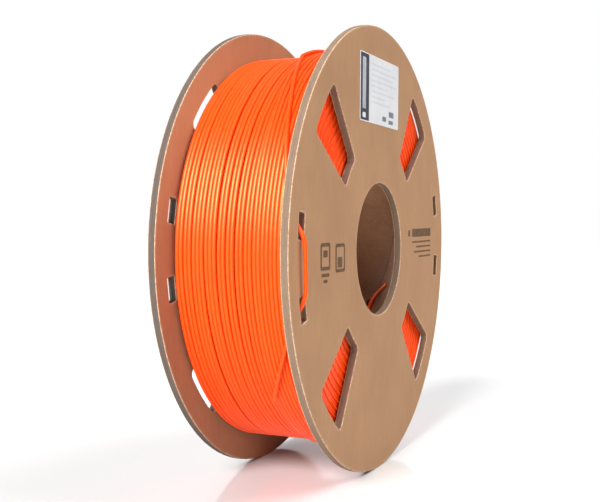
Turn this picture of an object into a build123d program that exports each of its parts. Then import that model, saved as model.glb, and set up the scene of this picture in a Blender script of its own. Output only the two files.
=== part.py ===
from build123d import *
import math
import os

# Cardboard filament spool: two laminated board flanges, a spiral-wound core tube and one wound filament.
# Frame: millimetres, +Z up, the spool's axis along Y, the origin on the axis half way between the flanges.
# The front flange, with the label and the tucked-in filament end, faces -Y.  Angles are measured about the
# axis from +X towards +Z.

# --- Spool ----------------------------------------------------------------------------------------------
flange_diameter = 200.0
spool_width = 60.4              # outer face to outer face
bore_diameter = 60.0            # hole that the spindle passes through

# --- Flange board ---------------------------------------------------------------------------------------
board_thickness = 2.7           # grey board between the two liners
liner_thickness = 0.35          # kraft paper glued to each side of the board
liner_setback = 0.15            # the liner stops this much short of the board's rim
front_turn = 2.8                # how far each flange is turned about the axis, degrees
rear_turn = -1.1

# --- Windows and slots cut through each flange ----------------------------------------------------------
window_count = 4
window_first = 45.0             # angle of the first window before the flange's turn
window_inner_radius = 50.0
window_outer_radius = 88.3
window_span = 18.6              # degrees between a window's two straight sides
window_corner = 2.5
slot_radius = 88.5              # to the slot's centre
slot_width = 5.5                # radial
slot_length = 10.5
slot_half_spread = 10.3         # degrees from the middle of a pair to each slot
slot_pairs = (0.0, 180.0)
slot_corner = 0.6

# --- Core tube ------------------------------------------------------------------------------------------
core_outer_diameter = 80.0
core_body_wall = 2.2            # wound paperboard between the two face plies
core_ply = 0.4                  # inner and outer face ply, each
glue_line = 0.3                 # adhesive between a core end and the flange
glue_squeeze = 1.2              # adhesive pressed out inside the core

# --- Filament -------------------------------------------------------------------------------------------
filament_diameter = 1.75
winding_front_radius = 89.3     # the pack is slightly fuller towards the front flange
winding_rear_radius = 87.8
winding_side_gap = 0.3          # to each flange's inner liner
winding_shoulder = 2.0          # rounding where the outermost turns sit beside the flange

# --- Start slot in the core wall ------------------------------------------------------------------------
start_slot_angle = -57.0
start_slot_depth = 10.6         # behind the front flange's inner face
start_slot_width = 4.0          # along the axis
start_slot_length = 17.0        # round the wall

# --- Label ----------------------------------------------------------------------------------------------
label_width = 51.0
label_height = 30.0
label_thickness = 0.15
label_corner = 1.0
label_centre = (-0.8, 71.0)     # X and Z on the front face
label_tilt = -1.0

# --- Filament ends, with each point chosen by hand ------------------------------------------------------
# Angle, height over the winding's front radius, and depth: behind the front flange's inner face where it is
# positive, and in front of the outer face where it is negative.
tucked_end_route = [
    (110.0, 0.75, 21.6),
    (118.0, 0.80, 18.4),
    (127.0, 0.90, 14.9),
    (136.5, 1.00, 11.4),
    (146.0, 1.10, 8.4),
    (155.0, 1.15, 5.8),
    (163.0, 1.25, 3.4),
    (169.5, 1.20, 1.2),
    (174.9, -0.40, -1.5),
    (180.4, -1.30, -1.65),
    (185.2, -1.30, -1.65),
    (190.7, -0.40, -1.5),
    (196.1, 1.20, 1.2),
    (201.5, 1.25, 4.2),
    (207.5, 1.20, 8.2),
    (214.0, 1.10, 12.8),
    (221.0, 0.95, 17.4),
]
# Angle, distance inside the core's outer radius, and depth behind the front flange's inner face.
start_end_route = [
    (-69.0, -1.60, 10.6),
    (-57.0, 1.40, 10.6),
    (-46.0, 4.05, 10.0),
    (-37.5, 4.20, 7.5),
    (-30.5, 4.30, 4.6),
]
ROUTE_SHARE = 0.45              # share of the shorter run that a bend's tangent takes

# --- Worked out from the above --------------------------------------------------------------------------
flange_radius = flange_diameter / 2
bore_radius = bore_diameter / 2
front_face = -spool_width / 2
rear_face = spool_width / 2
flange_thickness = board_thickness + 2 * liner_thickness
front_inner_face = front_face + flange_thickness
rear_inner_face = rear_face - flange_thickness
core_outer_radius = core_outer_diameter / 2
core_body_outer = core_outer_radius - core_ply
core_body_inner = core_body_outer - core_body_wall
core_inner_radius = core_body_inner - core_ply


def on_circle(radius, degrees):
    """Point at a radius and angle in a flange's plane."""
    angle = math.radians(degrees)
    return (radius * math.cos(angle), radius * math.sin(angle))


def beside_front_flange(degrees, radius, depth):
    """Point at a depth behind the front flange, or in front of it where the depth is negative."""
    x, z = on_circle(radius, degrees)
    nearest_face = front_face if depth < 0 else front_inner_face
    return Vector(x, nearest_face + depth, z)


def slab(sketch, y_low, y_high):
    """Extrude a sketch drawn in X and Z between two places along Y."""
    return extrude(Plane.XZ.offset(-y_high) * sketch, amount=y_high - y_low)


def tube(outer, inner, y_low, y_high):
    """Plain tube about the spool's axis."""
    return slab(Circle(outer) - Circle(inner), y_low, y_high)


def window(middle):
    """Window between two radial sides and two arcs, with rounded corners."""
    low = middle - window_span / 2
    high = middle + window_span / 2
    outline = [
        Line(on_circle(window_inner_radius, low), on_circle(window_outer_radius, low)),
        ThreePointArc(
            on_circle(window_outer_radius, low),
            on_circle(window_outer_radius, middle),
            on_circle(window_outer_radius, high),
        ),
        Line(on_circle(window_outer_radius, high), on_circle(window_inner_radius, high)),
        ThreePointArc(
            on_circle(window_inner_radius, high),
            on_circle(window_inner_radius, middle),
            on_circle(window_inner_radius, low),
        ),
    ]
    face = make_face(outline)
    return fillet(face.vertices(), window_corner)


def slot(middle):
    """Small slot that holds a filament end."""
    shape = RectangleRounded(slot_width, slot_length, slot_corner)
    return Rot(0, 0, middle) * Pos(slot_radius, 0) * shape


def flange_outline(radius, turn):
    """One flange ply, seen from the front, with its bore, windows and slots."""
    outline = Circle(radius) - Circle(bore_radius)
    for number in range(window_count):
        outline -= window(window_first + number * 360 / window_count + turn)
    for pair in slot_pairs:
        for side in (-1, 1):
            outline -= slot(pair + side * slot_half_spread + turn)
    return outline


def make_flange(outer_face, direction, turn):
    """Outer liner, board and inner liner; direction is +1 or -1 from the outer face inwards along Y."""
    plies = (
        ("outer_liner", liner_thickness, flange_radius - liner_setback),
        ("board", board_thickness, flange_radius),
        ("inner_liner", liner_thickness, flange_radius - liner_setback),
    )
    solids = {}
    start = outer_face
    for name, thickness, radius in plies:
        end = start + direction * thickness
        solids[name] = slab(flange_outline(radius, turn), min(start, end), max(start, end))
        start = end
    return solids


def make_start_slot():
    """Cutter for the slot in the core wall where the filament starts."""
    cutter = Box(4 * core_ply + 2 * core_body_wall, start_slot_width, start_slot_length)
    middle = (core_outer_radius + core_inner_radius) / 2
    placed = Pos(middle, front_inner_face + start_slot_depth, 0) * cutter
    return Rot(0, -start_slot_angle, 0) * placed


def make_core():
    """Three layers of the core tube, each with the start slot cut through it."""
    low = front_inner_face + glue_line
    high = rear_inner_face - glue_line
    cutter = make_start_slot()
    return {
        "core_outer_ply": tube(core_outer_radius, core_body_outer, low, high) - cutter,
        "core_body": tube(core_body_outer, core_body_inner, low, high) - cutter,
        "core_inner_ply": tube(core_body_inner, core_inner_radius, low, high) - cutter,
    }


def make_glue(inner_face, direction):
    """Adhesive under a core end, with the fillet that is pressed out inside the core."""
    squeeze = min(glue_squeeze, (core_inner_radius - bore_radius) / 2)
    core_end = inner_face + direction * glue_line
    fillet_end = core_end + direction * squeeze
    section = Polygon(
        (core_outer_radius, inner_face),
        (core_inner_radius - squeeze, inner_face),
        (core_inner_radius, fillet_end),
        (core_inner_radius, core_end),
        (core_outer_radius, core_end),
        align=None,
    )
    return revolve(section, Axis.Y)


def make_winding():
    """Wound filament as one closed ring, fuller at the front, with rounded shoulders."""
    low = front_inner_face + winding_side_gap
    high = rear_inner_face - winding_side_gap
    section = Polygon(
        (core_outer_radius, low),
        (winding_front_radius, low),
        (winding_rear_radius, high),
        (core_outer_radius, high),
        align=None,
    )
    outer_corners = section.vertices().sort_by(Axis.X)[-2:]
    return revolve(fillet(outer_corners, winding_shoulder), Axis.Y)


def bend_radii(points):
    """Largest radius that each corner's two runs allow."""
    radii = []
    for before, corner, after in zip(points, points[1:], points[2:]):
        arriving = corner - before
        leaving = after - corner
        turn = math.radians(arriving.get_angle(leaving))
        shorter = min(arriving.length, leaving.length)
        radii.append(ROUTE_SHARE * shorter / math.tan(turn / 2))
    return radii


def make_strand(points, name):
    """Round filament along straight runs joined by tangent arcs."""
    radii = bend_radii(points)
    path = FilletPolyline(*points, radius=radii)
    section = Plane(path @ 0, z_dir=path % 0) * Circle(filament_diameter / 2)
    strand = sweep(section, path=path)
    expected = path.length * math.pi * filament_diameter**2 / 4
    print(f"{name}: length {path.length:.1f}, radii {[round(r, 1) for r in radii]}, "
          f"volume {strand.volume:.2f} of {expected:.2f}")
    return strand


def make_tucked_end():
    """Free end of the filament, out through one slot of the front flange and back through the next."""
    points = [
        beside_front_flange(degrees, winding_front_radius + height, depth)
        for degrees, height, depth in tucked_end_route
    ]
    return make_strand(points, "tucked end")


def make_start_end():
    """Inner end of the filament, flush with the winding where it leaves it."""
    points = [
        beside_front_flange(degrees, core_outer_radius - inset, depth)
        for degrees, inset, depth in start_end_route
    ]
    strand = make_strand(points, "start end")
    core_space = tube(core_outer_radius, bore_radius, front_inner_face, rear_inner_face)
    return strand & core_space


def make_label():
    """Paper label on the front face, under the rim."""
    shape = RectangleRounded(label_width, label_height, label_corner)
    placed = Pos(*label_centre) * Rot(0, 0, label_tilt) * shape
    return slab(placed, front_face - label_thickness, front_face)


def make_spool():
    """Every piece by its node name."""
    pieces = {}
    for side, outer_face, direction, turn in (
        ("front", front_face, 1, front_turn),
        ("rear", rear_face, -1, rear_turn),
    ):
        for ply, solid in make_flange(outer_face, direction, turn).items():
            pieces[f"{side}_flange_{ply}"] = solid
    pieces.update(make_core())
    pieces["front_glue_ring"] = make_glue(front_inner_face, 1)
    pieces["rear_glue_ring"] = make_glue(rear_inner_face, -1)
    pieces["filament_winding"] = make_winding()
    pieces["filament_tucked_end"] = make_tucked_end()
    pieces["filament_start_end"] = make_start_end()
    pieces["label"] = make_label()
    return pieces


os.makedirs("parts", exist_ok=True)
for node, piece in make_spool().items():
    export_step(piece, f"parts/{node}.step")
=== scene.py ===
import math

import bmesh
import bpy
import numpy as np
from mathutils import Matrix, Vector
from mathutils.geometry import delaunay_2d_cdt


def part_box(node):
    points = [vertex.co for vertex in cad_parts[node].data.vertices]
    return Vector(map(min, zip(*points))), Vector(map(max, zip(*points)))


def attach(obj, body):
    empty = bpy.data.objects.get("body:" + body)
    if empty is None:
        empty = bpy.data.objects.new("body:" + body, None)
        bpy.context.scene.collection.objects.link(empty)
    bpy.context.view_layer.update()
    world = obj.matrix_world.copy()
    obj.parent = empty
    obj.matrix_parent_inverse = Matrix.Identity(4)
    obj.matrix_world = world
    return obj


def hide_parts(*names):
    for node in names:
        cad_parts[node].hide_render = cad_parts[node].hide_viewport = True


# Looks of the cardboard filament spool.  Lengths are millimetres until a mesh is made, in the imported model's
# frame: +Z up, the spool's axis along Y, the labelled front flange facing -Y.  Angles run from +X towards +Z.

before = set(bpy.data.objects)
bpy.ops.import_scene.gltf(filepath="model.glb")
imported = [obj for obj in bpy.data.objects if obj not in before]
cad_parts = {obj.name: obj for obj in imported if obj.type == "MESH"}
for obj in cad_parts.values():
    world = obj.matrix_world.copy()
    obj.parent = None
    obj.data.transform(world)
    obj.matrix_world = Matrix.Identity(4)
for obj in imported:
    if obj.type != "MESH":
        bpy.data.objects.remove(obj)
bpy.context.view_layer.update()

MM = 0.001


def extent(node):
    """Lowest and highest corner of a CAD node, in millimetres."""
    low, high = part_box(node)
    return low / MM, high / MM


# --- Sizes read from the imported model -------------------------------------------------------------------
front_face = extent("front_flange_outer_liner")[0].y
front_board_face = extent("front_flange_board")[0].y
front_board_back = extent("front_flange_board")[1].y
front_inner_face = extent("front_flange_inner_liner")[1].y
rear_inner_face = extent("rear_flange_inner_liner")[0].y
rear_board_back = extent("rear_flange_board")[0].y
rear_board_face = extent("rear_flange_board")[1].y
rear_face = extent("rear_flange_outer_liner")[1].y
flange_radius = extent("front_flange_board")[1].x
liner_radius = extent("front_flange_outer_liner")[1].x
core_outer_radius = extent("core_outer_ply")[1].x
core_inner_ply_outer = extent("core_inner_ply")[1].x
core_front_end = extent("core_body")[0].y
core_rear_end = extent("core_body")[1].y
label_middle = sum(extent("label"), Vector()) / 2
label_face = extent("label")[0].y
floor_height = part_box("front_flange_board")[0].z
winding_space = rear_inner_face - front_inner_face

# --- Sizes that a box can't give, as they are in the CAD source ------------------------------------------
bore_radius = 30.0
front_turn = 2.8
rear_turn = -1.1
window_count = 4
window_first = 45.0
window_inner_radius = 50.0
window_outer_radius = 88.3
window_span = 18.6
window_corner = 2.5
slot_radius = 88.5
slot_width = 5.5
slot_length = 10.5
slot_half_spread = 10.3
slot_pairs = (0.0, 180.0)
slot_corner = 0.6
core_ply = 0.4
filament_diameter = 1.75
winding_front_radius = 89.3
winding_side_gap = 0.3
label_width = 51.0
label_height = 30.0
label_corner = 1.0
label_tilt = -1.0
# Angle, height over winding_front_radius, and depth behind the front flange's inner face, or in front of
# its outer face where it is negative.
tucked_end_route = [
    (110.0, 0.75, 21.6),
    (118.0, 0.80, 18.4),
    (127.0, 0.90, 14.9),
    (136.5, 1.00, 11.4),
    (146.0, 1.10, 8.4),
    (155.0, 1.15, 5.8),
    (163.0, 1.25, 3.4),
    (169.5, 1.20, 1.2),
    (174.9, -0.40, -1.5),
    (180.4, -1.30, -1.65),
    (185.2, -1.30, -1.65),
    (190.7, -0.40, -1.5),
    (196.1, 1.20, 1.2),
    (201.5, 1.25, 4.2),
    (207.5, 1.20, 8.2),
    (214.0, 1.10, 12.8),
    (221.0, 0.95, 17.4),
]
# Angle, distance inside the core's outer radius, and depth behind the front flange's inner face.
start_end_route = [
    (-69.0, -1.60, 10.6),
    (-57.0, 1.40, 10.6),
    (-46.0, 4.05, 10.0),
    (-37.5, 4.20, 7.5),
    (-30.5, 4.30, 4.6),
]

# --- Sizes that only the looks use ------------------------------------------------------------------------
floor_size = 6.0                # metres
core_seam_pitch = 46.0          # of the spiral that the core's paper is wound in
liner_face_inset = 1.1          # flat face's outline, inside the rounded edge
face_cell = 7.0                 # size of a flange face's triangles
face_seed = 5
glue_steps = 240                # points round a glue bead
glue_out = 1.15                 # how far a bead that is all there stands out from the core's wall
glue_along = 1.05               # and how far it runs along it

# --- Winding, as it is seen -------------------------------------------------------------------------------
strand_radius = filament_diameter / 2
turn_pitch = 1.752              # between neighbouring turns that touch
layer_step = 1.52               # a layer lies in the grooves of the one below
outer_layer_turns = 27          # two fewer than would fit, so the rest is open gaps
under_layer_drop = 2.25         # the layer below has sunk a little where the gaps have opened
outer_layer_radius = 87.02      # to the strand's centre
side_layer_step = 1.70          # between the end turns of successive layers
last_turns_count = 9.305        # turns of the short last layer, beside the front flange
last_turns_start = 1.25         # depth of its first turn behind the front flange's inner face
last_turns_fan = 0.72           # how far apart its turns are spread over the top, beyond the pitch
last_turns_fan_count = 8.6      # turns that are spread
last_turns_fan_middle = 98.0    # degrees
last_turns_fan_reach = 33.0
strand_steps = 190              # points in one turn of a strand that is seen
under_strand_steps = 110
rear_slump = 0.90               # how far the outer layer sinks beside the rear flange
rear_fullness = 1.60            # taken off that where the layer is fullest
rear_fullest = 220.0            # degrees
rear_full_reach = 44.0
rear_slump_reach = 1.9          # distance over which the layer sinks
end_drop = 1.3                  # how far its last quarter turn dives under
end_turn_recess = 0.42          # how far back every second end turn stands


# ==============================================================================
# Camera, light and stage
# ==============================================================================
def new_object(name, data):
    item = bpy.data.objects.new(name, data)
    bpy.context.scene.collection.objects.link(item)
    return item


def make_camera():
    """Camera to the left of the front flange, just above the spool's axis."""
    data = bpy.data.cameras.new("camera")
    data.sensor_width = 36.0
    data.lens = 60.4
    camera = new_object("camera", data)
    camera.location = (-0.4333, -0.1843, 0.0171)
    direction = Vector((0.9119, 0.4085, -0.0393))
    camera.rotation_mode = "QUATERNION"
    camera.rotation_quaternion = direction.to_track_quat("-Z", "Y")
    bpy.context.scene.camera = camera


def make_light(name, towards, strength, width, shows):
    """Distant softbox: the direction that it stands in, the brightness that it gives a white card that
    faces it, its width in degrees, and whether it shows in diffuse light or in gloss."""
    data = bpy.data.lights.new(name, "SUN")
    data.energy = strength * math.pi
    data.angle = math.radians(width)
    light = new_object(name, data)
    light.rotation_mode = "QUATERNION"
    light.rotation_quaternion = Vector(towards).to_track_quat("Z", "Y")
    light.visible_diffuse = shows == "diffuse"
    light.visible_glossy = shows == "gloss"


BACKDROP_DIRECTION = (0.91, 0.41, 0.0)      # straight behind the spool, seen from the camera
BACKDROP_EDGE = 0.78                        # cosine from that direction where the backdrop begins
BACKDROP_FULL = 0.92                        # and where it has its full brightness


def make_world(ambient, backdrop):
    """Dim studio, with a bright backdrop behind the spool that shows only in gloss; the camera itself sees
    even white."""
    world = bpy.data.worlds.new("studio")
    bpy.context.scene.world = world
    world.use_nodes = True
    tree = world.node_tree
    tree.nodes.clear()
    output = tree.nodes.new("ShaderNodeOutputWorld")
    mix = tree.nodes.new("ShaderNodeMixShader")
    path = tree.nodes.new("ShaderNodeLightPath")
    room = tree.nodes.new("ShaderNodeBackground")
    white = tree.nodes.new("ShaderNodeBackground")
    for background in (room, white):
        background.inputs["Color"].default_value = (1.0, 1.0, 1.0, 1.0)
    white.inputs["Strength"].default_value = 1.0
    place = tree.nodes.new("ShaderNodeTexCoord")
    facing = tree.nodes.new("ShaderNodeVectorMath")
    facing.operation = "DOT_PRODUCT"
    facing.inputs[1].default_value = BACKDROP_DIRECTION
    in_gloss = tree.nodes.new("ShaderNodeMath")
    in_gloss.operation = "MULTIPLY"
    share = tree.nodes.new("ShaderNodeMapRange")
    share.inputs["From Min"].default_value = BACKDROP_EDGE
    share.inputs["From Max"].default_value = BACKDROP_FULL
    share.inputs["To Min"].default_value = ambient
    share.inputs["To Max"].default_value = backdrop
    for source, target in (
        (place.outputs["Generated"], facing.inputs[0]),
        (facing.outputs["Value"], in_gloss.inputs[0]),
        (path.outputs["Is Glossy Ray"], in_gloss.inputs[1]),
        (in_gloss.outputs[0], share.inputs["Value"]),
        (share.outputs[0], room.inputs["Strength"]),
        (path.outputs["Is Camera Ray"], mix.inputs[0]),
        (room.outputs[0], mix.inputs[1]),
        (white.outputs[0], mix.inputs[2]),
        (mix.outputs[0], output.inputs[0]),
    ):
        tree.links.new(source, target)


def make_floor():
    """Pale, slightly glossy floor."""
    half = floor_size / 2
    mesh = bpy.data.meshes.new("floor")
    corners = [(-half, -half, 0), (half, -half, 0), (half, half, 0), (-half, half, 0)]
    mesh.from_pydata(corners, [], [(0, 1, 2, 3)])
    floor = new_object("floor", mesh)
    floor.location = (0.0, 0.0, floor_height)
    paint = Paint("floor")
    paint.surface(base=(0.66, 0.66, 0.665), roughness=0.12)
    mesh.materials.append(paint.material)


def make_stage():
    bpy.context.scene.view_settings.view_transform = "Standard"
    make_world(ambient=0.10, backdrop=0.95)
    make_light("left", (-0.84, 0.04, 0.54), 1.9, 24.0, shows="diffuse")
    make_light("left_gloss", (-0.83, 0.02, 0.55), 5.4, 40.0, shows="gloss")
    make_light("right", (0.34, -0.60, 0.72), 1.08, 42.0, shows="diffuse")
    make_light("behind", (0.55, 0.70, 0.45), 0.50, 60.0, shows="diffuse")
    make_floor()


# ==============================================================================
# Materials
# ==============================================================================
def rgb(red, green, blue):
    """Linear colour of an 8-bit display colour."""
    def linear(value):
        value /= 255.0
        return value / 12.92 if value <= 0.04045 else ((value + 0.055) / 1.055) ** 2.4
    return (linear(red), linear(green), linear(blue))


def shade(colour, factor):
    return tuple(factor * part for part in colour)


class Paint:
    """One procedural material, with short calls for the nodes that it needs."""

    def __init__(self, name):
        self.material = bpy.data.materials.new(name)
        self.material.use_nodes = True
        self.tree = self.material.node_tree
        self.tree.nodes.clear()
        self.output = self.tree.nodes.new("ShaderNodeOutputMaterial")
        self.shader = self.tree.nodes.new("ShaderNodeBsdfPrincipled")
        self.tree.links.new(self.shader.outputs[0], self.output.inputs[0])
        self.place = self.tree.nodes.new("ShaderNodeTexCoord").outputs["Object"]

    def put(self, socket, value):
        """Set a socket to a number or colour, or link it to another node's output."""
        if isinstance(value, bpy.types.NodeSocket):
            self.tree.links.new(value, socket)
        elif isinstance(value, tuple) and len(value) == 3 and socket.type == "RGBA":
            socket.default_value = (*value, 1.0)
        else:
            socket.default_value = value

    def node(self, kind, **inputs):
        """New node, with its inputs set or linked by name."""
        node = self.tree.nodes.new("ShaderNode" + kind)
        for name, value in inputs.items():
            self.put(node.inputs[name.replace("_", " ")], value)
        return node

    def stretch(self, scale):
        """Object coordinates in millimetres, times a scale for each axis."""
        return self.node("Mapping", Vector=self.place, Scale=[value / MM for value in scale]).outputs[0]

    def noise(self, scale, detail=3.0, distortion=0.0):
        """Noise with a scale for each axis, in cells per millimetre."""
        return self.node("TexNoise", Vector=self.stretch(scale), Scale=1.0, Detail=detail, Roughness=0.55,
                         Distortion=distortion).outputs[0]

    def math(self, operation, first, second=0.0):
        node = self.tree.nodes.new("ShaderNodeMath")
        node.operation = operation
        self.put(node.inputs[0], first)
        self.put(node.inputs[1], second)
        return node.outputs[0]

    def total(self, *weighted):
        """Sum of values, each given with its weight."""
        parts = [self.math("MULTIPLY", value, weight) for value, weight in weighted]
        result = parts[0]
        for part in parts[1:]:
            result = self.math("ADD", result, part)
        return result

    def between(self, value, low, high, to_low=0.0, to_high=1.0):
        """Value from low to high, mapped to another range and held inside it."""
        return self.node("MapRange", Value=value, From_Min=low, From_Max=high, To_Min=to_low,
                         To_Max=to_high).outputs[0]

    def mix(self, share, first, second):
        """Two colours mixed by a share."""
        node = self.tree.nodes.new("ShaderNodeMix")
        node.data_type = "RGBA"
        self.put(node.inputs["Factor"], share)
        self.put(node.inputs[6], first)
        self.put(node.inputs[7], second)
        return node.outputs[2]

    def attribute(self, name):
        node = self.tree.nodes.new("ShaderNodeAttribute")
        node.attribute_name = name
        return node.outputs["Fac"]

    def axis(self, letter):
        """One object coordinate, in millimetres."""
        return self.node("SeparateXYZ", Vector=self.stretch((1.0, 1.0, 1.0))).outputs[letter]

    def bump(self, height, distance):
        """Relief from a height between 0 and 1, with its depth in millimetres."""
        return self.node("Bump", Strength=1.0, Distance=distance * MM, Height=height).outputs[0]

    def surface(self, base, roughness=0.5, normal=None, **plain):
        """Fill the shader: colour, roughness, relief, and plain numbers by their socket's name."""
        self.put(self.shader.inputs["Base Color"], base)
        self.put(self.shader.inputs["Roughness"], roughness)
        if normal is not None:
            self.put(self.shader.inputs["Normal"], normal)
        for name, value in plain.items():
            self.shader.inputs[name.replace("_", " ")].default_value = value


def kraft_colour(paint, light, dark):
    """Kraft paper: cloudy pulp, fibres along Z, and scattered pale and dark flecks."""
    clouds = paint.noise((0.055, 0.055, 0.040), detail=4.0)
    streaks = paint.noise((1.10, 1.10, 0.085), detail=3.0)
    fibres = paint.noise((4.6, 4.6, 0.9), detail=2.0, distortion=0.6)
    tone = paint.total((clouds, 0.50), (streaks, 0.30), (fibres, 0.20))
    colour = paint.mix(paint.between(tone, 0.36, 0.64), dark, light)
    dark_flecks = paint.between(paint.noise((1.7, 1.7, 1.1), detail=1.0, distortion=1.2), 0.70, 0.76)
    colour = paint.mix(paint.math("MULTIPLY", dark_flecks, 0.35), colour, shade(dark, 0.55))
    pale_flecks = paint.between(paint.noise((2.3, 2.3, 1.6), detail=1.0, distortion=1.6), 0.71, 0.77)
    colour = paint.mix(paint.math("MULTIPLY", pale_flecks, 0.30), colour, shade(light, 1.25))
    return colour, fibres, streaks


def kraft_paint(name):
    """Brown liner of the flanges, paler at its rounded cut edges: partly worn fibres, partly a painted
    highlight along the edge.
    """
    paint = Paint(name)
    light = rgb(166, 128, 95)
    dark = rgb(154, 117, 86)
    colour, fibres, streaks = kraft_colour(paint, light, dark)
    # Pale rounded edge of the liner: part wear, part painted highlight along the edge.
    edge_patches = paint.between(paint.noise((0.9, 0.9, 0.9), detail=3.0), 0.35, 0.65)
    wear_and_highlight = paint.math("MULTIPLY", paint.attribute("wear_and_highlight"), edge_patches)
    colour = paint.mix(paint.math("MULTIPLY", wear_and_highlight, 0.75), colour, rgb(222, 192, 162))
    relief = paint.total((fibres, 0.6), (streaks, 0.4))
    normal = paint.bump(relief, 0.055)
    paint.surface(colour, paint.between(fibres, 0.3, 0.7, 0.78, 0.92), normal, Specular_IOR_Level=0.28)
    return paint.material


def board_paint(name, light, dark):
    """Raw cut edge of the laminated board: thin plies along the cut, ragged fibres and a little dirt."""
    paint = Paint(name)
    plies = paint.noise((0.25, 5.5, 0.25), detail=3.0, distortion=0.3)
    pulp = paint.noise((1.6, 3.2, 1.6), detail=4.0)
    clouds = paint.noise((0.06, 0.2, 0.06), detail=3.0)
    tone = paint.total((plies, 0.45), (pulp, 0.30), (clouds, 0.25))
    colour = paint.mix(paint.between(tone, 0.36, 0.64), dark, light)
    relief = paint.total((plies, 0.6), (pulp, 0.4))
    paint.surface(colour, paint.between(pulp, 0.3, 0.7, 0.84, 0.96), paint.bump(relief, 0.16),
                  Specular_IOR_Level=0.25)
    return paint.material


def core_paint(name, light, dark):
    """Wound core paper with a spiral seam."""
    paint = Paint(name)
    fibres = paint.noise((2.4, 0.5, 2.4), detail=3.0)
    clouds = paint.noise((0.07, 0.07, 0.07), detail=3.0)
    tone = paint.total((fibres, 0.5), (clouds, 0.5))
    around = paint.math("DIVIDE", paint.math("ARCTAN2", paint.axis("Z"), paint.axis("X")), 2 * math.pi)
    along = paint.math("DIVIDE", paint.axis("Y"), core_seam_pitch)
    spiral = paint.math("ADD", around, along)
    across = paint.math("ABSOLUTE", paint.math("SUBTRACT", paint.math("FRACT", spiral), 0.5))
    seam = paint.between(across, 0.0, 0.009, 1.0, 0.0)
    colour = paint.mix(paint.between(tone, 0.36, 0.64), dark, light)
    colour = paint.mix(paint.math("MULTIPLY", seam, 0.6), colour, shade(dark, 0.45))
    relief = paint.math("SUBTRACT", paint.math("MULTIPLY", fibres, 0.35), seam)
    paint.surface(colour, paint.between(fibres, 0.3, 0.7, 0.72, 0.9), paint.bump(relief, 0.12),
                  Specular_IOR_Level=0.3)
    return paint.material


def filament_paint(name, base, deep):
    """Extruded orange plastic, satin, with a slightly uneven tone.  Its draw lines run along the strand, and
    so round the spool's axis, and they spread each highlight across the strand."""
    paint = Paint(name)
    clouds = paint.noise((0.05, 0.35, 0.05), detail=3.0)
    lengths = paint.noise((0.30, 1.3, 0.30), detail=2.0)
    tone = paint.total((clouds, 0.55), (lengths, 0.45))
    colour = paint.mix(paint.between(tone, 0.35, 0.65), deep, base)
    grain = paint.noise((3.5, 3.5, 3.5), detail=3.0)
    along = paint.tree.nodes.new("ShaderNodeTangent")
    along.direction_type = "RADIAL"
    along.axis = "Y"
    paint.put(paint.shader.inputs["Tangent"], along.outputs[0])
    paint.surface(colour, paint.between(lengths, 0.3, 0.7, 0.38, 0.45), paint.bump(grain, 0.010),
                  Specular_IOR_Level=0.5, IOR=1.46, Specular_Tint=(1.0, 0.92, 0.42, 1.0),
                  Anisotropic=0.6, Anisotropic_Rotation=0.25)
    return paint.material


def glue_paint(name):
    """Dried carton adhesive, yellowish and half gloss."""
    paint = Paint(name)
    clouds = paint.noise((0.35, 0.35, 0.35), detail=3.0)
    colour = paint.mix(paint.between(clouds, 0.35, 0.65), rgb(188, 160, 112), rgb(222, 204, 166))
    paint.surface(colour, paint.between(clouds, 0.3, 0.7, 0.35, 0.55), paint.bump(clouds, 0.12))
    return paint.material


def paper_paint(name, light, dark, roughness=0.5):
    """Coated label paper or the ink on it, with a faint tooth and slight unevenness."""
    paint = Paint(name)
    clouds = paint.noise((0.10, 0.10, 0.10), detail=3.0)
    tooth = paint.noise((3.0, 3.0, 3.0), detail=2.0)
    tone = paint.total((clouds, 0.6), (tooth, 0.4))
    colour = paint.mix(paint.between(tone, 0.36, 0.64), dark, light)
    paint.surface(colour, paint.between(tooth, 0.3, 0.7, roughness - 0.06, roughness + 0.06),
                  paint.bump(tooth, 0.012), Specular_IOR_Level=0.4)
    return paint.material


def ink_paint(name):
    """Dark flexographic ink on the kraft liner, thin enough that the paper's fibres show through."""
    paint = Paint(name)
    colour, fibres, streaks = kraft_colour(paint, rgb(104, 78, 56), rgb(74, 52, 36))
    paler_share = paint.between(paint.noise((2.2, 2.2, 1.4), detail=3.0), 0.58, 0.74)
    colour = paint.mix(paint.math("MULTIPLY", paler_share, 0.55), colour, rgb(176, 138, 104))
    relief = paint.total((fibres, 0.6), (streaks, 0.4))
    paint.surface(colour, 0.8, paint.bump(relief, 0.055), Specular_IOR_Level=0.28)
    return paint.material


def make_paints():
    return {
        "kraft": kraft_paint("kraft_liner"),
        "front_board": board_paint("front_board_edge", rgb(130, 108, 89), rgb(109, 89, 72)),
        # The rear board's edge is a darker copy of the front one's: painted shade.
        "rear_board": board_paint("rear_board_edge_painted_shade", rgb(98, 86, 78), rgb(78, 68, 60)),
        "core": core_paint("core_paper", rgb(170, 126, 94), rgb(146, 104, 76)),
        "filament": filament_paint("filament", (0.98, 0.070, 0.004), (0.93, 0.061, 0.003)),
        "glue": glue_paint("adhesive"),
        "label": paper_paint("label_paper", rgb(210, 209, 210), rgb(200, 200, 202)),
        "label_band": paper_paint("label_dark_ink", rgb(68, 72, 80), rgb(52, 57, 66), 0.42),
        "label_strip": paper_paint("label_strip_ink", rgb(176, 178, 182), rgb(158, 160, 165), 0.45),
        "label_grey": paper_paint("label_grey_ink", rgb(196, 199, 206), rgb(182, 185, 193), 0.5),
        "label_block": paper_paint("label_block_ink", rgb(120, 124, 136), rgb(98, 102, 114), 0.5),
        "ink": ink_paint("board_print"),
    }


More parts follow.
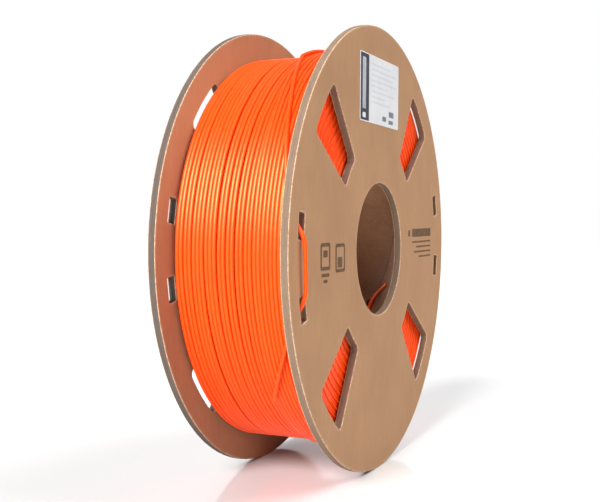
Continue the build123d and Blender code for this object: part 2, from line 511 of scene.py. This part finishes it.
# ==============================================================================
# Mesh helpers
# ==============================================================================
def make_object(name, vertices, faces, materials, face_materials=None, wear_and_highlight=None, sharp_degrees=50.0):
    """Mesh object from points in millimetres, with outward normals and smooth faces."""
    mesh = bpy.data.meshes.new(name)
    mesh.from_pydata((np.asarray(vertices, float) * MM).tolist(), [], faces)
    for material in materials:
        mesh.materials.append(material)
    if face_materials is not None:
        mesh.polygons.foreach_set("material_index", np.asarray(face_materials, np.int32))
    # Share of paler colour at each point: edge wear and painted edge highlight, read by the liner's paint.
    if wear_and_highlight is not None:
        mesh.attributes.new("wear_and_highlight", "FLOAT", "POINT").data.foreach_set("value", np.asarray(wear_and_highlight, np.float32))
    shape = bmesh.new()
    shape.from_mesh(mesh)
    bmesh.ops.recalc_face_normals(shape, faces=shape.faces)
    shape.to_mesh(mesh)
    shape.free()
    mesh.shade_smooth()
    mesh.set_sharp_from_angle(angle=math.radians(sharp_degrees))
    mesh.update()
    return new_object(name, mesh)


def install(piece, slot, *nodes):
    """Fix a piece to the spool, in place of the CAD nodes that it stands for."""
    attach(piece, "root")
    if nodes:
        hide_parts(*nodes)


def on_circle(radius, degrees):
    angle = math.radians(degrees)
    return (radius * math.cos(angle), radius * math.sin(angle))


def arc(middle, radius, start, end, step):
    """Points round an arc, its angles in degrees, with about one step in millimetres between them."""
    count = max(2, math.ceil(abs(math.radians(end - start)) * radius / step) + 1)
    angles = np.radians(np.linspace(start, end, count))
    return np.stack([middle[0] + radius * np.cos(angles), middle[1] + radius * np.sin(angles)], 1)


def join_outline(*stretches):
    """One closed outline from stretches that meet end to end."""
    points = np.concatenate(stretches)
    apart = np.linalg.norm(points - np.roll(points, 1, axis=0), axis=1)
    return points[apart > 1e-6]


def between_points(start, end, step):
    """Points along a straight side."""
    count = max(2, math.ceil(math.dist(start, end) / step) + 1)
    share = np.linspace(0.0, 1.0, count)[:, None]
    return np.asarray(start) * (1 - share) + np.asarray(end) * share


def circle_outline(radius, step):
    count = int(2 * math.pi * radius / step)
    angles = np.linspace(0.0, 2 * math.pi, count, endpoint=False)
    return np.stack([radius * np.cos(angles), radius * np.sin(angles)], 1)


def window_outline(middle):
    """Window between two radial sides and two arcs, with rounded corners."""
    corner = window_corner
    outer_centre = window_outer_radius - corner
    inner_centre = window_inner_radius + corner
    outer_lean = math.degrees(math.asin(corner / outer_centre))
    inner_lean = math.degrees(math.asin(corner / inner_centre))
    low = middle - window_span / 2
    high = middle + window_span / 2
    side_inner = math.sqrt(inner_centre**2 - corner**2)
    side_outer = math.sqrt(outer_centre**2 - corner**2)
    return join_outline(
        between_points(on_circle(side_inner, low), on_circle(side_outer, low), 1.2),
        arc(on_circle(outer_centre, low + outer_lean), corner, low - 90, low + outer_lean, 0.4),
        arc((0, 0), window_outer_radius, low + outer_lean, high - outer_lean, 1.0),
        arc(on_circle(outer_centre, high - outer_lean), corner, high - outer_lean, high + 90, 0.4),
        between_points(on_circle(side_outer, high), on_circle(side_inner, high), 1.2),
        arc(on_circle(inner_centre, high - inner_lean), corner, high + 90, high + 180 - inner_lean, 0.4),
        arc((0, 0), window_inner_radius, high - inner_lean, low + inner_lean, 1.0),
        arc(on_circle(inner_centre, low + inner_lean), corner, low + 180 + inner_lean, low + 270, 0.4),
    )


def rounded_box(width, height, corner, step, corner_step):
    """Outline of a rectangle with rounded corners, about the origin."""
    x, y = width / 2 - corner, height / 2 - corner
    half_w, half_h = width / 2, height / 2
    return join_outline(
        between_points((half_w, -y), (half_w, y), step),
        arc((x, y), corner, 0, 90, corner_step),
        between_points((x, half_h), (-x, half_h), step),
        arc((-x, y), corner, 90, 180, corner_step),
        between_points((-half_w, y), (-half_w, -y), step),
        arc((-x, -y), corner, 180, 270, corner_step),
        between_points((-x, -half_h), (x, -half_h), step),
        arc((x, -y), corner, 270, 360, corner_step),
    )


def turned(points, degrees):
    """Points turned about the origin."""
    angle = math.radians(degrees)
    matrix = np.array([[math.cos(angle), math.sin(angle)], [-math.sin(angle), math.cos(angle)]])
    return np.asarray(points) @ matrix


def slot_outline(middle):
    shape = rounded_box(slot_width, slot_length, slot_corner, 0.7, 0.25)
    return turned(shape + (slot_radius, 0.0), middle)


def inside(points, outline):
    """Which points lie inside a closed outline."""
    x, y = points[:, 0, None], points[:, 1, None]
    ax, ay = outline[:, 0], outline[:, 1]
    bx, by = np.roll(ax, -1), np.roll(ay, -1)
    crosses = (ay > y) != (by > y)
    rise = np.where(by == ay, 1.0, by - ay)
    return (crosses & (x < (bx - ax) * (y - ay) / rise + ax)).sum(1) % 2 == 1


def inset(outline, distance, is_hole):
    """Outline moved into the material; every outline runs anticlockwise."""
    ahead = np.roll(outline, -1, axis=0) - np.roll(outline, 1, axis=0)
    outward = np.stack([ahead[:, 1], -ahead[:, 0]], 1) / np.linalg.norm(ahead, axis=1)[:, None]
    return outline + outward * (distance if is_hole else -distance)


def loose_grid(outlines, spacing, margin, seed):
    """Points spread over a sheet, clear of its outlines."""
    reach = np.abs(outlines[0]).max()
    rows = np.arange(-reach, reach, spacing * 0.866)
    columns = np.arange(-reach, reach, spacing)
    x, y = np.meshgrid(columns, rows)
    x = x + (np.arange(len(rows))[:, None] % 2) * spacing / 2
    points = np.stack([x.ravel(), y.ravel()], 1)
    points += np.random.default_rng(seed).uniform(-0.15, 0.15, points.shape) * spacing
    keep = inside(points, outlines[0])
    for hole in outlines[1:]:
        keep &= ~inside(points, hole)
    points = points[keep]
    edge = np.concatenate(outlines)
    gap = np.full(len(points), np.inf)
    for start in range(0, len(edge), 200):
        away = points[:, None, :] - edge[None, start:start + 200, :]
        gap = np.minimum(gap, np.sqrt((away**2).sum(2)).min(1))
    return points[gap > margin]


def fill_sheet(outlines, marks, spacing, seed):
    """Triangles over a sheet with holes.  marks are closed outlines that the triangles follow, by name.
    Returns the points, of which the outlines' own come first, the triangles, and the mark of each."""
    rings = [*outlines, *[points for name, points in marks]]
    grid = loose_grid(outlines, spacing, spacing * 0.45, seed)
    if marks:
        edge = np.concatenate([points for name, points in marks])
        away = np.linalg.norm(grid[:, None, :] - edge[None, :, :], axis=2).min(1)
        grid = grid[away > 0.3]
    edges = []
    start = 0
    for ring in rings:
        count = len(ring)
        edges += [(start + i, start + (i + 1) % count) for i in range(count)]
        start += count
    given = np.concatenate([*rings, grid])
    found = delaunay_2d_cdt([Vector(p) for p in given.tolist()], edges, [], 0, 1e-7)
    points = np.array([tuple(p) for p in found[0]])
    order = np.array([original[0] if original else -1 for original in found[3]])
    if len(order) != len(given) or (order != np.arange(len(given))).any():
        raise ValueError("the sheet's points were merged or reordered; set its marks further apart")
    triangles = np.array(found[2])
    middles = points[triangles].mean(1)
    keep = inside(middles, outlines[0])
    for hole in outlines[1:]:
        keep &= ~inside(middles, hole)
    triangles, middles = triangles[keep], middles[keep]
    kinds = np.full(len(triangles), -1)
    for number, (name, outline) in enumerate(marks):
        kinds[inside(middles, outline)] = number
    return points, triangles, kinds


def make_plate(name, outlines, profile, materials, filling, turn=0.0, waviness=0.0, ragged=0.0, seed=1,
               mark_materials=()):
    """Closed plate lying in X and Z.  profile lists (inset, Y, edge wear and painted edge highlight) from its
    first face to its last, and filling is fill_sheet's result for the first face."""
    flat_points, triangles, kinds = filling
    edge_count = sum(len(outline) for outline in outlines)
    rng = np.random.default_rng(seed)
    vertices, faces, wear_and_highlight, face_materials = [], [], [], []
    rows = []
    for depth, (distance, y, paler_share) in enumerate(profile):
        moved = np.concatenate([inset(o, distance, number > 0) for number, o in enumerate(outlines)])
        rough = ragged if 0 < depth < len(profile) - 1 else 0.0
        if rough:
            wall = np.concatenate([inset(o, distance + 0.01, n > 0) for n, o in enumerate(outlines)]) - moved
            push = rng.uniform(0.0, 1.0, len(moved))[:, None] * rough
            moved = moved + wall / 0.01 * push
        rows.append(len(vertices))
        vertices += [(x, y, z) for x, z in turned(moved, turn).tolist()]
        wear_and_highlight += [paler_share] * edge_count
    starts = np.cumsum([0] + [len(o) for o in outlines])
    for row, following in zip(rows, rows[1:]):
        for first, end in zip(starts, starts[1:]):
            for i in range(first, end):
                j = i + 1 if i + 1 < end else first
                faces.append((row + i, row + j, following + j, following + i))
                face_materials.append(0)
    inner = turned(flat_points[edge_count:], turn)
    for side, row, y in ((0, rows[0], profile[0][1]), (1, rows[-1], profile[-1][1])):
        base = len(vertices)
        inwards = np.sign(profile[-1][1] - profile[0][1]) * (1 if side == 0 else -1)
        waves = np.sin(inner[:, 0] / 11.0 + seed) + np.sin(inner[:, 1] / 8.3 - 2 * seed)
        dips = waviness * (0.5 + 0.25 * waves)
        vertices += [(x, y + inwards * dip, z) for (x, z), dip in zip(inner.tolist(), dips.tolist())]
        wear_and_highlight += [0.0] * len(inner)
        index = np.concatenate([row + np.arange(edge_count), base + np.arange(len(inner))])
        faces += index[triangles].tolist()
        if side == 0 and len(mark_materials):
            face_materials += [0 if kind < 0 else mark_materials[kind] for kind in kinds.tolist()]
        else:
            face_materials += [0] * len(triangles)
    return make_object(name, vertices, faces, materials, face_materials, wear_and_highlight)


# ==============================================================================
# Flanges
# ==============================================================================
def flange_outlines(radius):
    outlines = [circle_outline(radius, 0.9), circle_outline(bore_radius, 0.8)]
    for number in range(window_count):
        outlines.append(window_outline(window_first + number * 360 / window_count))
    for pair in slot_pairs:
        for side in (-1, 1):
            outlines.append(slot_outline(pair + side * slot_half_spread))
    return outlines


def bar(x_low, x_high, z_low, z_high, corner=0.25):
    """Printed bar, as a closed outline."""
    shape = rounded_box(x_high - x_low, z_high - z_low, corner, 2.0, 0.2)
    return shape + ((x_low + x_high) / 2, (z_low + z_high) / 2)


def ring_marks(x_low, x_high, z_low, z_high, width):
    """Printed frame: its outer outline, and its inner one, which is bare paper again."""
    return [
        ("ink", bar(x_low, x_high, z_low, z_high, 1.4)),
        ("bare", bar(x_low + width, x_high - width, z_low + width, z_high - width, 0.6)),
    ]


def board_marks():
    """Plain handling marks printed on the front flange: two small frames and a block of lines."""
    frames = ring_marks(-69.6, -59.4, -6.4, 4.6, 1.5), ring_marks(-54.0, -43.4, -7.9, 3.9, 1.4)
    first = [bar(-66.8, -62.2, -1.2, 1.6), bar(-68.6, -60.4, -9.0, -7.6), bar(-66.6, -62.4, -11.4, -10.1)]
    second = [bar(-51.6, -46.4, -6.0, -1.6), bar(41.2, 44.4, 4.6, 7.8, 0.9), bar(47.4, 78.6, 4.3, 8.4)]
    for row, length in enumerate((31.0, 24.5, 28.0, 20.0)):
        top = 2.2 - 2.5 * row
        second.append(bar(78.6 - length, 78.6, top - 0.9, top, 0.2))
    inked = [[("ink", outline) for outline in shapes] for shapes in (first, second)]
    return [*frames[0], *inked[0], *frames[1], *inked[1]]


# Rings of the liner's rounded edge: inset, depth, and share of edge wear and painted edge highlight.
LINER_EDGE = ((0.26, 0.000, 0.35), (0.12, 0.025, 0.85), (0.03, 0.090, 1.0), (0.0, 0.180, 1.0))
BOARD_EDGE = ((0.10, 0.0), (0.02, 0.09), (0.0, 0.22), (0.045, 0.36), (0.0, 0.46), (0.10, 0.50), (0.0, 0.54),
              (0.05, 0.66), (0.0, 0.80), (0.02, 0.91), (0.10, 1.0))


def liner_profile(outside, inside_face):
    """Rounded, scuffed edge on the open face, painted paler for wear and highlight, and a square one where the
    liner is glued to the board.
    """
    direction = math.copysign(1.0, inside_face - outside)
    rings = [(distance, outside + direction * depth, wear_and_highlight) for distance, depth, wear_and_highlight in LINER_EDGE]
    return [(liner_face_inset, outside, 0.0), *rings, (0.0, inside_face, 0.8)]


def board_profile(first, last):
    """Ragged wall with a shallow groove between the board's two plies."""
    return [(distance, first + share * (last - first), 1.0) for distance, share in BOARD_EDGE]


def make_flanges(paints):
    outlines = {"liner": flange_outlines(liner_radius), "board": flange_outlines(flange_radius)}
    plain = {kind: fill_sheet([inset(o, 0.3, n > 0) for n, o in enumerate(rings)], [], face_cell, face_seed)
             for kind, rings in outlines.items()}
    marks = [(kind, turned(points, -front_turn)) for kind, points in board_marks()]
    start = [inset(o, liner_face_inset, n > 0) for n, o in enumerate(outlines["liner"])]
    printed = fill_sheet(start, marks, face_cell, face_seed)
    mark_materials = [1 if kind == "ink" else 0 for kind, points in marks]
    plies = (
        ("front", "outer_liner", front_face, front_board_face, front_turn),
        ("front", "inner_liner", front_inner_face, front_board_back, front_turn),
        ("rear", "outer_liner", rear_face, rear_board_face, rear_turn),
        ("rear", "inner_liner", rear_inner_face, rear_board_back, rear_turn),
    )
    for number, (side, ply, open_face, glued_face, turn) in enumerate(plies):
        is_printed = (side, ply) == ("front", "outer_liner")
        piece = make_plate(
            f"{side}_{ply}", outlines["liner"], liner_profile(open_face, glued_face),
            [paints["kraft"], paints["ink"]] if is_printed else [paints["kraft"]],
            printed if is_printed else plain["liner"], turn, waviness=0.05, seed=number + 3,
            mark_materials=mark_materials if is_printed else ())
        install(piece, "kraft_liner", f"{side}_flange_{ply}")
    for side, first, last, turn in (("front", front_board_face, front_board_back, front_turn),
                                    ("rear", rear_board_face, rear_board_back, rear_turn)):
        piece = make_plate(f"{side}_board", outlines["board"], board_profile(first, last),
                           [paints[f"{side}_board"]], plain["board"], turn, ragged=0.05, seed=11)
        install(piece, "grey_board", f"{side}_flange_board")


# ==============================================================================
# Winding
# ==============================================================================
def wander(distance, seed, size):
    """Smooth, repeatable unevenness along a path."""
    rng = np.random.default_rng(seed)
    total = np.zeros_like(distance)
    for rate in (0.31, 0.83, 1.57, 2.71, 4.3):
        total += np.sin(rate * distance + rng.uniform(0, 2 * math.pi)) / (1 + rate)
    return size * total


def smooth_step(value, low, high):
    share = np.clip((value - low) / (high - low), 0.0, 1.0)
    return share * share * (3 - 2 * share)


def bell(degrees, middle, width):
    """Smooth hump round the spool, centred on an angle."""
    away = (np.asarray(degrees) - middle + 180.0) % 360.0 - 180.0
    return np.exp(-(away / width) ** 2)


def strand_mesh(angle, radius, y, sides, closed=False):
    """Vertices and faces of a strand that runs round the axis; angle is in radians."""
    turn = np.linspace(0, 2 * math.pi, sides, endpoint=False)
    r = radius[:, None] + strand_radius * np.cos(turn)[None, :]
    points = np.stack([
        r * np.cos(angle)[:, None],
        y[:, None] + strand_radius * np.sin(turn)[None, :] + 0 * r,
        r * np.sin(angle)[:, None],
    ], 2).reshape(-1, 3)
    count = len(angle)
    last = count if closed else count - 1
    i = np.arange(last)[:, None]
    j = np.arange(sides)[None, :]
    after = (i + 1) % count
    beside = (j + 1) % sides
    quads = np.stack([i * sides + j, after * sides + j, after * sides + beside, i * sides + beside], 2)
    faces = quads.reshape(-1, 4).tolist()
    if not closed:
        faces.append(list(range(sides)))
        faces.append([(count - 1) * sides + k for k in range(sides)])
    return points, faces


def ring_faces(rows, columns):
    """Quads of a surface that closes both ways, where point row * columns + column is a corner."""
    faces = []
    for i in range(rows):
        here, there = i * columns, (i + 1) % rows * columns
        for j in range(columns):
            beside = (j + 1) % columns
            faces.append((here + j, there + j, there + beside, here + beside))
    return faces


def join_meshes(parts):
    """One list of vertices and faces from several."""
    vertices, faces = [], []
    start = 0
    for points, polygons in parts:
        vertices.append(points)
        faces += [[start + i for i in polygon] for polygon in polygons]
        start += len(points)
    return np.concatenate(vertices), faces


# Open gaps between the outer layer's turns: depth behind the front flange's inner face, width, and the
# angle round the spool where the gap is widest, with how far it reaches.
GAPS = (
    (8.0, 0.20, 190.0, 60.0),
    (11.1, 0.30, 214.0, 40.0),
    (16.1, 0.34, 172.0, 42.0),
    (19.4, 0.20, 196.0, 70.0),
    (22.1, 0.36, 205.0, 95.0),
    (26.4, 0.24, 185.0, 60.0),
    (30.1, 0.36, 160.0, 60.0),
    (35.1, 0.42, 222.0, 48.0),
    (40.2, 0.24, 170.0, 50.0),
    (43.5, 0.20, 190.0, 70.0),
    (47.6, 0.30, 225.0, 45.0),
)
GAP_FLOOR = 0.08                # share of a gap's width that is left where it is narrowest


def gap_shift(turns, degrees, span):
    """How far the gaps before a turn push it along, with all of them adding up to the same span."""
    widths = [width * (GAP_FLOOR + bell(degrees, middle, reach)) for depth, width, middle, reach in GAPS]
    total = sum(widths)
    shift = np.zeros_like(turns)
    for (depth, *rest), width in zip(GAPS, widths):
        before = depth / turn_pitch
        shift += span * width / total * smooth_step(turns, before - 0.12, before + 0.12)
    return shift


def outer_layer():
    """The full outer layer, one helix from the front flange to the rear one."""
    first = winding_side_gap + strand_radius
    count = outer_layer_turns
    spare = winding_space - 2 * first - count * turn_pitch
    turns = np.linspace(0.0, count, count * strand_steps + 1)
    angle = 2 * math.pi * turns
    degrees = np.degrees(angle)
    depth = first + turn_pitch * turns + gap_shift(turns, degrees, spare)
    depth += wander(angle, 21, 0.030) * smooth_step(turns, 0.0, 0.5) * smooth_step(count - turns, 0.0, 0.5)
    radius = outer_layer_radius + wander(angle, 22, 0.045)
    slump = rear_slump - rear_fullness * bell(degrees, rear_fullest, rear_full_reach)
    radius -= slump * np.exp(-(winding_space - first - depth) / rear_slump_reach)
    radius -= end_drop * (1.0 - smooth_step(count - turns, 0.0, 0.25))
    return angle, radius, front_inner_face + depth


def last_turns():
    """The short last layer beside the front flange, spread out over the top of the spool, up to where the
    strand leaves it for the slots."""
    turns = np.linspace(-0.30, last_turns_count, int(last_turns_count * strand_steps))
    angle = 2 * math.pi * turns
    degrees = np.degrees(angle)
    fan = last_turns_fan * bell(degrees, last_turns_fan_middle, last_turns_fan_reach)
    fan *= np.clip(turns, 0.0, last_turns_fan_count)
    depth = last_turns_start + turn_pitch * np.clip(turns, -0.1, None) + fan
    depth += wander(angle, 31, 0.045)
    depth = np.maximum(depth, winding_side_gap + strand_radius)
    radius = outer_layer_radius + layer_step * smooth_step(turns, -0.28, 0.0) + wander(angle, 32, 0.05)
    end_height, end_depth = tucked_end_route[0][1:]
    lift = smooth_step(turns, last_turns_count - 0.42, last_turns_count - 0.10)
    radius += (winding_front_radius + end_height - radius) * lift
    depth += (end_depth - depth) * smooth_step(turns, last_turns_count - 0.55, last_turns_count - 0.02)
    return angle, radius, front_inner_face + depth


def under_layer():
    """The layer below the outer one, seen in its gaps."""
    first = winding_side_gap + 2 * strand_radius
    count = math.floor((winding_space - 2 * first) / turn_pitch)
    turns = np.linspace(0.0, count, count * under_strand_steps + 1)
    angle = -2 * math.pi * turns
    depth = first + turns / count * (winding_space - 2 * first) + wander(angle, 41, 0.03)
    radius = outer_layer_radius - under_layer_drop + wander(angle, 42, 0.03)
    return angle, radius, front_inner_face + depth


def end_turns(side):
    """End turn of each layer, against a flange: every second one stands back in the groove."""
    parts = []
    count = int((outer_layer_radius - layer_step - core_outer_radius - strand_radius) / side_layer_step)
    angle = np.linspace(0, 2 * math.pi, 132, endpoint=False)
    for layer in range(count + 1):
        radius = outer_layer_radius - layer_step - layer * side_layer_step
        depth = winding_side_gap + strand_radius + (end_turn_recess if layer % 2 else 0.0)
        seed = 60 + layer if side < 0 else 160 + layer
        sway = wander(np.cos(angle) * 2.2 + np.sin(angle * 2), seed, 0.10)
        face = front_inner_face if side < 0 else rear_inner_face
        y = face - side * (depth + np.abs(sway))
        uneven = wander(np.sin(angle) * 2.4 + np.cos(angle * 3), seed + 300, 0.05)
        parts.append(strand_mesh(angle, radius + uneven, y, 9, closed=True))
    return join_meshes(parts)


def inner_layers():
    """The layers that can't be seen, as one ring that closes the pack off behind the turns that can."""
    outer = outer_layer_radius - under_layer_drop - layer_step
    reach = winding_side_gap + 2.1 * strand_radius
    low, high = front_inner_face + reach, rear_inner_face - reach
    ridges = int((high - low) / turn_pitch)
    section = [(core_outer_radius + 0.05, low), (outer - 1.0, low)]
    for ridge in range(ridges):
        for share in (0.1, 0.35, 0.65, 0.9):
            bulge = math.sin(math.pi * share) * strand_radius * 0.8
            section.append((outer + bulge, low + (ridge + share) * (high - low) / ridges))
    section += [(outer - 1.0, high), (core_outer_radius + 0.05, high)]
    section = np.array(section)
    angle = np.linspace(0, 2 * math.pi, 120, endpoint=False)
    points = np.stack([
        np.cos(angle)[:, None] * section[None, :, 0],
        np.ones(len(angle))[:, None] * section[None, :, 1],
        np.sin(angle)[:, None] * section[None, :, 0],
    ], 2).reshape(-1, 3)
    return points, ring_faces(len(angle), len(section))


def make_winding(paints):
    filament = [paints["filament"]]
    layers = (
        ("winding_outer_layer", strand_mesh(*outer_layer(), 12)),
        ("winding_last_turns", strand_mesh(*last_turns(), 12)),
        ("winding_under_layer", strand_mesh(*under_layer(), 8)),
        ("winding_front_end_turns", end_turns(-1)),
        ("winding_rear_end_turns", end_turns(1)),
        ("winding_inner_layers", inner_layers()),
    )
    for name, (points, faces) in layers:
        piece = make_object(name, points, faces, filament, sharp_degrees=75.0)
        install(piece, "filament", "filament_winding")


def make_strand_curve(name, points, paints, *nodes):
    """Round strand on a smooth spline through given control points."""
    data = bpy.data.curves.new(name, "CURVE")
    data.dimensions = "3D"
    data.bevel_depth = strand_radius * MM
    data.bevel_resolution = 5
    data.resolution_u = 14
    data.use_fill_caps = True
    spline = data.splines.new("NURBS")
    spline.points.add(len(points) - 1)
    for place, point in zip(spline.points, points):
        place.co = (*(value * MM for value in point), 1.0)
    spline.order_u = 3
    spline.use_endpoint_u = True
    strand = new_object(name, data)
    data.materials.append(paints["filament"])
    install(strand, "filament", *nodes)


def make_strand_ends(paints):
    points = []
    for degrees, height, depth in tucked_end_route:
        x, z = on_circle(winding_front_radius + height, degrees)
        points.append((x, (front_face if depth < 0 else front_inner_face) + depth, z))
    make_strand_curve("filament_tucked_end_strand", points, paints, "filament_tucked_end")
    points = []
    for degrees, distance, depth in start_end_route:
        x, z = on_circle(core_outer_radius - distance, degrees)
        points.append((x, front_inner_face + depth, z))
    make_strand_curve("filament_start_end_strand", points, paints, "filament_start_end")


# ==============================================================================
# Core, glue and label
# ==============================================================================
def dress_core(paints):
    """The core's three plies have the right shape already, so they get a finish."""
    for node in ("core_outer_ply", "core_body", "core_inner_ply"):
        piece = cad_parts[node]
        piece.data.materials.clear()
        piece.data.materials.append(paints["core"])


def make_glue(side, paints):
    """Adhesive under a core end, squeezed out unevenly inside the core."""
    face = front_inner_face if side < 0 else rear_inner_face
    core_end = core_front_end if side < 0 else core_rear_end
    inner = core_inner_ply_outer - core_ply
    count = glue_steps
    angle = np.linspace(0, 2 * math.pi, count, endpoint=False)
    swell = 0.62 + wander(np.cos(angle) * 3 + np.sin(angle * 2) * 2, 80 + side, 0.20)
    swell = np.clip(swell + wander(angle * 6, 90 + side, 0.10), 0.25, 1.0)
    section = []
    for share in np.linspace(0.0, 1.0, 6):
        out = swell * glue_out * math.cos(share * math.pi / 2)
        along = swell * glue_along * math.sin(share * math.pi / 2)
        section.append((inner - out, core_end - side * along * share + 0 * out))
    ring = [(core_outer_radius - 0.05, face), (inner - swell * glue_out, face), *section,
            (inner + 0 * swell, core_end), (core_outer_radius - 0.05, core_end)]
    points = []
    for radius, y in ring:
        points.append(np.stack([radius * np.cos(angle), y + 0 * angle, radius * np.sin(angle)], 1))
    name = "front_glue_bead" if side < 0 else "rear_glue_bead"
    piece = make_object(name, np.concatenate(points), ring_faces(len(points), count), [paints["glue"]])
    install(piece, "adhesive", "front_glue_ring" if side < 0 else "rear_glue_ring")


def label_marks():
    """Generic label layout, from its middle: a dark band with a pale strip, rows of grey lines and blocks."""
    marks = [
        ("label_band", bar(-25.0, -14.6, -14.5, 14.5, 0.4)),
        ("label_strip", bar(-22.6, -18.4, -9.5, 12.8, 0.4)),
        ("label", bar(-22.4, -18.6, -13.4, -11.2, 0.3)),
    ]
    for row in range(8):
        top = 11.6 - 2.4 * row
        length = (26.0, 33.0, 29.0, 34.0, 22.0, 31.0, 18.0, 25.0)[row]
        marks.append(("label_grey", bar(-11.6, -11.6 + length, top - 0.75, top, 0.2)))
    for block in ((12.0, 18.6, -10.2, -7.6), (3.0, 8.2, -12.8, -10.6), (11.6, 17.8, -13.4, -11.6)):
        marks.append(("label_block", bar(*block, 0.3)))
    return marks


def make_label(paints):
    outline = rounded_box(label_width, label_height, label_corner, 1.5, 0.25)
    marks = label_marks()
    kinds = ["label", "label_band", "label_strip", "label_grey", "label_block"]
    filling = fill_sheet([inset(outline, 0.35, False)], marks, 3.0, 9)
    profile = [(0.35, label_face, 0.0), (0.10, label_face + 0.012, 0.4), (0.0, label_face + 0.06, 1.0),
               (0.0, front_face - 0.005, 1.0)]
    piece = make_plate("label_sheet", [outline], profile, [paints[kind] for kind in kinds], filling,
                       mark_materials=[kinds.index(kind) for kind, points in marks])
    tilt = Matrix.Rotation(math.radians(-label_tilt), 4, "Y")
    place = Matrix.Translation((label_middle.x * MM, 0.0, label_middle.z * MM))
    piece.data.transform(place @ tilt)
    install(piece, "label_paper", "label")


# ==============================================================================
make_camera()
make_stage()
paints = make_paints()
make_flanges(paints)
make_winding(paints)
make_strand_ends(paints)
dress_core(paints)
for side in (-1, 1):
    make_glue(side, paints)
make_label(paints)

bpy.context.view_layer.update()
